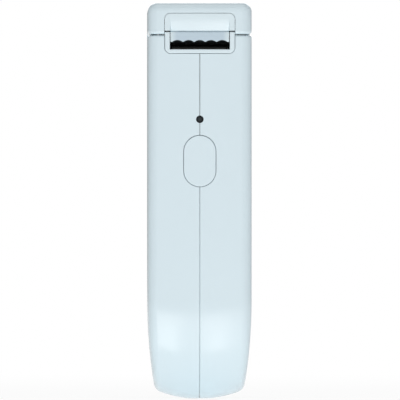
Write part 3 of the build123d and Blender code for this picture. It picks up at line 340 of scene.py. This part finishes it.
def zinc_sheet(name, colour):
    """Zinc-plated sheet with its faint spangle"""
    finish = Finish(name)
    spangle = finish.add("ShaderNodeRGBToBW", {}, {0: finish.cells(SPANGLE, "Color")})
    haze = finish.noise(0.5)
    tone = finish.blend(spangle * 0.7 + haze * 0.3, shade(colour, 0.88), shade(colour, 1.06))
    return finish.done(
        Base_Color=tone,
        Metallic=1.0,
        Roughness=0.34 + 0.16 * (spangle - 0.5) + 0.1 * (haze - 0.5),
        Normal=finish.bump(haze, 0.002),
    )


def rubber(name, colour, roughness):
    """Ground elastomer: matt, with fine grinding marks and a little paper dust"""
    finish = Finish(name)
    marks = finish.noise(0.12, 3.0, finish.stretched((0.25, 1, 1)))
    dust = finish.ramp(finish.noise(0.9, 5.0), (0.56, 0), (0.74, 1))
    return finish.done(
        Base_Color=finish.blend(dust * 0.22, colour, (0.30, 0.30, 0.29)),
        Roughness=roughness + 0.12 * (marks - 0.5),
        Normal=finish.bump(marks, 0.01),
    )


def smoked_lens(name):
    """Smoked light pipe, a shade lighter in the middle where the unlit source sits behind it"""
    finish = Finish(name)
    low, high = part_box("status_light_lens")
    middle = (low + high) / 2
    offset = finish.add(
        "ShaderNodeVectorMath", {"operation": "SUBTRACT"},
        {0: finish.place(), 1: (middle.x, low.y, middle.z)},
    )
    flat = finish.add(
        "ShaderNodeVectorMath", {"operation": "MULTIPLY"}, {0: offset, 1: (1, 0, 1)}
    )
    radius = finish.add("ShaderNodeVectorMath", {"operation": "LENGTH"}, {0: flat}, "Value")
    centre = finish.ramp(radius * (1 / MM), (0.25, 1), (0.7, 0))
    return finish.done(
        Base_Color=finish.blend(centre, (0.008, 0.011, 0.013), (0.035, 0.042, 0.045)),
        Roughness=0.3 + 0.1 * finish.noise(0.6, 2.0),
        Specular_IOR_Level=0.15,
    )


def laminate(name):
    """Green solder mask over copper tracks, with tinned pads"""
    finish = Finish(name)
    weave = finish.noise(0.16, 2.0)
    turned = finish.add(
        "ShaderNodeMapping", {}, {"Vector": finish.place(), "Rotation": (0, math.pi / 2, 0)}
    )
    tracks = finish.add(
        "ShaderNodeTexBrick", {"offset": 0.37, "squash": 1.6},
        {
            "Vector": turned, "Scale": 1 / (TRACK_PITCH * MM),
            "Mortar Size": 0.035, "Mortar Smooth": 0.2,
        },
        "Fac",
    )
    pads = finish.ramp(finish.cells(PAD_PITCH, "Distance"), (0.10, 1), (0.13, 0))
    mask = finish.blend(tracks * 0.6, (0.010, 0.075, 0.032), (0.030, 0.165, 0.062))
    return finish.done(
        Base_Color=finish.blend(pads, mask, (0.62, 0.60, 0.55)),
        Metallic=pads * 0.9,
        Roughness=0.30 + 0.1 * (weave - 0.5),
        Normal=finish.bump(tracks * 0.7 + pads * 0.5 + weave * 0.1, 0.02),
    )


def ceramic(name):
    """Black glass overcoat on the strip, over the fine feeder lines of its heater; its
    near-black tone is partly painted shade that keeps the tape slot dark
    """
    finish = Finish(name)
    phase = finish.along("X") * (2 * math.pi / (FEEDER_PITCH * MM))
    wave = finish.add("ShaderNodeMath", {"operation": "SINE"}, {0: phase})
    lines = finish.ramp(wave * 0.5 + 0.5, (0.55, 0), (0.75, 1))
    return finish.done(
        # near black: partly the overcoat's colour, partly painted shade for the tape slot
        Base_Color=finish.blend(lines, (0.004, 0.006, 0.007), (0.020, 0.018, 0.014)),
        Roughness=0.28 + 0.1 * finish.noise(1.4),
        Normal=finish.bump(lines, 0.004),
        Specular_IOR_Level=0.12,
    )


def glaze(name):
    """Amber-brown glass over the row of heating dots"""
    finish = Finish(name)
    streak = finish.noise(0.5, 3.0, finish.stretched((0.3, 1, 1)))
    tone = finish.blend(streak, (0.030, 0.017, 0.008), (0.085, 0.048, 0.022))
    return finish.done(Base_Color=tone, Roughness=0.12 + 0.1 * streak)


def pouch(name):
    """Aluminium laminate pouch with soft creases"""
    finish = Finish(name)
    crease = finish.noise(4.5, 4.0, roughness=0.6)
    sheen = finish.noise(0.4, 2.0)
    return finish.done(
        Base_Color=finish.blend(crease, (0.50, 0.51, 0.53), (0.68, 0.69, 0.71)),
        Metallic=0.92,
        Roughness=0.36 + 0.16 * (sheen - 0.5),
        Normal=finish.bump(crease, 0.25, 0.6),
    )


def foam(name, colour):
    """Closed-cell foam tape"""
    finish = Finish(name)
    cells = finish.cells(FOAM_CELL, "Distance")
    tone = finish.blend(cells, shade(colour, 0.86), colour)
    return finish.done(Base_Color=tone, Roughness=0.9, Normal=finish.bump(cells, 0.05))


MATERIALS = {
    "casing_plastic": moulded("casing_plastic", CASING_TINT, 0.20, relief=0.0025),
    "seam_shaded_casing": moulded("seam_shaded_casing", CASING_TINT, 0.20, relief=0.0025, seam_shaded=True),
    "trim_plastic": moulded("trim_plastic", TRIM_TINT, 0.22, 0.3, 0.002),
    "cradle_plastic": moulded("cradle_plastic", (0.62, 0.69, 0.71), 0.5, 0.3, 0.008),
    "black_plastic": moulded("black_plastic", (0.018, 0.018, 0.020), 0.46, 0.2, 0.008, 0.1),
    "chip_epoxy": moulded("chip_epoxy", (0.022, 0.022, 0.024), 0.55, 0.1, 0.010, 0.12),
    "ferrite": moulded("ferrite", (0.060, 0.056, 0.055), 0.62, 0.15, 0.020, 0.15),
    "connector_plastic": polished("connector_plastic", (0.70, 0.66, 0.54), 0.38),
    "gear_plastic": polished("gear_plastic", (0.80, 0.78, 0.70), 0.34),
    "led_body": polished("led_body", (0.82, 0.78, 0.60), 0.3),
    "wire_insulation": polished("wire_insulation", (0.030, 0.030, 0.034), 0.42, 0.15),
    "tear_bar_steel": tear_steel("tear_bar_steel"),
    "bright_steel": ground_metal("bright_steel", (0.58, 0.585, 0.59), 0.22, (1, 0.2, 0.2), 0.3),
    "screw_steel": ground_metal("screw_steel", (0.060, 0.060, 0.064), 0.38, (1, 1, 1), 0.25),
    "spring_steel": ground_metal("spring_steel", (0.46, 0.46, 0.44), 0.28, (0.1, 1, 1)),
    "shield_steel": ground_metal("shield_steel", (0.62, 0.62, 0.61), 0.3, (1, 1, 0.1)),
    "head_aluminium": ground_metal("head_aluminium", (0.66, 0.67, 0.68), 0.36, (0.08, 1, 1)),
    "zinc_steel": zinc_sheet("zinc_steel", (0.58, 0.59, 0.58)),
    "roller_rubber": rubber("roller_rubber", (0.010, 0.013, 0.014), 0.62),
    "adhesive_foam": foam("adhesive_foam", (0.78, 0.78, 0.74)),
    "smoked_lens": smoked_lens("smoked_lens"),
    "board_laminate": laminate("board_laminate"),
    "head_ceramic": ceramic("head_ceramic"),
    "battery_foil": pouch("battery_foil"),
}


def dress(piece, material):
    """Give a piece this finish and no other"""
    piece.data.materials.clear()
    piece.data.materials.append(material)


for subpart in frame["record"]["subparts"]:
    # the casing halves get painted shade in their parting groove
    seam_shaded = subpart["node"] in SEAMED_NODES
    finish_name = "seam_shaded_casing" if seam_shaded else subpart["material_slot"]
    dress(frame["nodes"][subpart["node"]], MATERIALS[finish_name])


def pick(pieces):
    """Select these pieces and nothing else, the first as the active one"""
    bpy.ops.object.select_all(action="DESELECT")
    for piece in pieces:
        piece.select_set(True)
    bpy.context.view_layer.objects.active = pieces[0]


def soften(piece, width):
    """Round off a piece's sharp edges by some millimetres"""
    pick([piece])
    edge = piece.modifiers.new("edge", "BEVEL")
    edge.width = width * MM
    edge.segments = EDGE_SEGMENTS
    edge.limit_method = "ANGLE"
    edge.angle_limit = EDGE_ANGLE
    bpy.ops.object.modifier_apply(modifier=edge.name)
    bpy.ops.object.shade_smooth_by_angle(angle=SMOOTH_ANGLE)


def bevelled_block(name, middle, size, width):
    """Small block with rounded edges, all in millimetres"""
    bpy.ops.object.select_all(action="DESELECT")
    bpy.ops.mesh.primitive_cube_add(size=1, location=[MM * value for value in middle])
    block = bpy.context.active_object
    block.name = name
    block.scale = [MM * value for value in size]
    bpy.ops.object.transform_apply(location=True, rotation=True, scale=True)
    soften(block, width)
    return block


def joined(name, blocks, material, body):
    """One piece out of many blocks, that rides on a body"""
    pick(blocks)
    bpy.ops.object.join()
    piece = bpy.context.active_object
    piece.name = name
    dress(piece, material)
    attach(piece, body)


def heater_bead():
    """Low glazed ridge across the print head, right under the roller"""
    low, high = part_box("print_head")
    roller_low, roller_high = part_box("platen_roller")
    nip = (roller_low.y + roller_high.y) / 2
    bpy.ops.object.select_all(action="DESELECT")
    bpy.ops.mesh.primitive_cylinder_add(
        vertices=32, radius=BEAD_RADIUS * MM, depth=high.x - low.x - BEAD_SHORTFALL * MM,
        location=(0, nip, high.z - BEAD_DEPTH * MM), rotation=(0, math.pi / 2, 0),
    )
    bead = bpy.context.active_object
    bpy.ops.object.transform_apply(location=False, rotation=True, scale=False)
    bead.scale = (1, 1, BEAD_FLATNESS)
    bpy.ops.object.transform_apply(location=True, rotation=True, scale=True)
    soften(bead, BEAD_EDGE)
    joined("heater_bead", [bead], glaze("heater_glaze"), "print_head")


def surface_parts():
    """Small resistors with tinned ends on the main board and on the sensor board"""
    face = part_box("main_board")[1].x / MM
    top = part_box("sensor_board")[1].z / MM
    bodies = []
    ends = []
    for y, z, upright in MAIN_BOARD_PARTS:
        along = (0, 0, 1) if upright else (0, 1, 0)
        add_part(bodies, ends, (face, y, z), (1, 0, 0), along)
    for x, y in SENSOR_BOARD_PARTS:
        add_part(bodies, ends, (x, y, top), (0, 0, 1), (0, 1, 0))
    joined("surface_part_bodies", bodies, MATERIALS["chip_epoxy"], "casing")
    joined("surface_part_ends", ends, MATERIALS["shield_steel"], "casing")


def add_part(bodies, ends, foot, outwards, along):
    """One part whose foot lies on a board, with its two ends"""
    across = tuple(1 - abs(o) - abs(a) for o, a in zip(outwards, along))

    def sized(long, wide, tall):
        return [long * a + wide * c + tall * o for a, c, o in zip(along, across, outwards)]

    full = (PART_LENGTH, PART_WIDTH, PART_HEIGHT)
    middle = [f + o * PART_HEIGHT / 2 for f, o in zip(foot, outwards)]
    body_size = sized(*(size - inset for size, inset in zip(full, BODY_INSET)))
    bodies.append(bevelled_block("body", middle, body_size, BODY_EDGE))
    end_size = sized(PART_END, PART_WIDTH, PART_HEIGHT)
    for way in (-1, 1):
        place = [m + way * a * (PART_LENGTH - PART_END) / 2 for m, a in zip(middle, along)]
        ends.append(bevelled_block("end", place, end_size, END_EDGE))


def leaf_spring():
    """The spring under the print head, as a copy of its CAD piece with welded triangles and
    smooth shading
    """
    cad_spring = frame["nodes"]["head_spring"]
    spring = bpy.data.objects.new("leaf_spring", cad_spring.data.copy())
    bpy.context.scene.collection.objects.link(spring)
    pick([spring])
    bpy.ops.object.mode_set(mode="EDIT")
    bpy.ops.mesh.select_all(action="SELECT")
    bpy.ops.mesh.remove_doubles(threshold=WELD_GAP * MM)
    bpy.ops.mesh.customdata_custom_splitnormals_clear()
    bpy.ops.object.mode_set(mode="OBJECT")
    bpy.ops.object.shade_smooth_by_angle(angle=SMOOTH_ANGLE)
    dress(spring, MATERIALS["spring_steel"])
    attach(spring, "casing")
    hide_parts("head_spring")
    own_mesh(spring)


def studio_floor():
    """Pale floor, nearly white to the camera and in reflections, with the object's soft shadow

    It lets shadow rays through, so that the strip lights below it reach the object."""
    bpy.ops.mesh.primitive_plane_add(size=FLOOR_SIZE, location=(0, 0, 0))
    floor = bpy.context.active_object
    floor.name = "studio_floor"
    finish = Finish("studio_floor")
    camera_ray = finish.add("ShaderNodeLightPath", output="Is Camera Ray")
    glossy_ray = finish.add("ShaderNodeLightPath", output="Is Glossy Ray")
    shadow_ray = finish.add("ShaderNodeLightPath", output="Is Shadow Ray")
    seen = finish.add("ShaderNodeMath", {"operation": "MAXIMUM"}, {0: camera_ray, 1: glossy_ray})
    reach = finish.add(
        "ShaderNodeVectorMath", {"operation": "LENGTH"}, {0: finish.place()}, "Value"
    )
    whiter = finish.ramp(reach, (0.15, 0.9), (0.7, 1))
    paper = finish.add("ShaderNodeBsdfDiffuse", {}, {"Color": FLOOR_PAPER})
    white = finish.add("ShaderNodeEmission", {}, {"Color": WHITE, "Strength": 1.0})
    clear = finish.add("ShaderNodeBsdfTransparent", {}, {"Color": WHITE})
    sheet = finish.add("ShaderNodeMixShader", {}, {0: seen * whiter, 1: paper, 2: white})
    surface = finish.add("ShaderNodeMixShader", {}, {0: shadow_ray, 1: sheet, 2: clear})
    finish.add("ShaderNodeOutputMaterial", {}, {"Surface": surface})
    floor.data.materials.append(finish.material)


def studio_world():
    """White to the camera alone, and an even grey light on the object and in reflections"""
    world = bpy.data.worlds.new("studio_world")
    bpy.context.scene.world = world
    sky = NodeTree(world)
    camera_ray = sky.add("ShaderNodeLightPath", output="Is Camera Ray")
    even = sky.add("ShaderNodeBackground", {}, {"Color": SKY_TINT, "Strength": SKY_LEVEL})
    white = sky.add("ShaderNodeBackground", {}, {"Color": WHITE, "Strength": 1.0})
    seen = sky.add("ShaderNodeMixShader", {}, {0: camera_ray, 1: even, 2: white})
    sky.add("ShaderNodeOutputWorld", {}, {"Surface": seen})


def soft_light(name, place, aim, width, height, power, lean):
    """Softbox that faces a point, and leans by some degrees about its own axis"""
    lamp = bpy.data.lights.new(name, "AREA")
    lamp.shape = "RECTANGLE"
    lamp.size = width
    lamp.size_y = height
    lamp.energy = power
    holder = bpy.data.objects.new(name, lamp)
    bpy.context.scene.collection.objects.link(holder)
    holder.location = place
    facing = (Vector(aim) - Vector(place)).to_track_quat("-Z", "Y")
    holder.rotation_euler = (facing @ Quaternion((0, 0, 1), math.radians(lean))).to_euler()


def photo_camera():
    """Long lens square on to the narrow face, a trace to its left"""
    camera_data = bpy.data.cameras.new("photo_camera")
    camera = bpy.data.objects.new("photo_camera", camera_data)
    bpy.context.scene.collection.objects.link(camera)
    turn = math.radians(CAMERA_AZIMUTH)
    target = Vector((AIM_X, cad_bounds[0].y, AIM_Z))
    away = Vector((math.sin(turn), -math.cos(turn), 0)) * CAMERA_DISTANCE
    camera.location = target + away
    camera.rotation_euler = (-away).to_track_quat("-Z", "Y").to_euler()
    camera_data.sensor_width = SENSOR_WIDTH
    camera_data.lens = SENSOR_WIDTH * CAMERA_DISTANCE / PHOTO_WIDTH
    camera_data.clip_end = CAMERA_REACH
    bpy.context.scene.camera = camera


heater_bead()
surface_parts()
leaf_spring()
studio_floor()
studio_world()
for lamp_settings in LAMPS:
    soft_light(*lamp_settings)
photo_camera()
bpy.context.scene.view_settings.view_transform = "Standard"
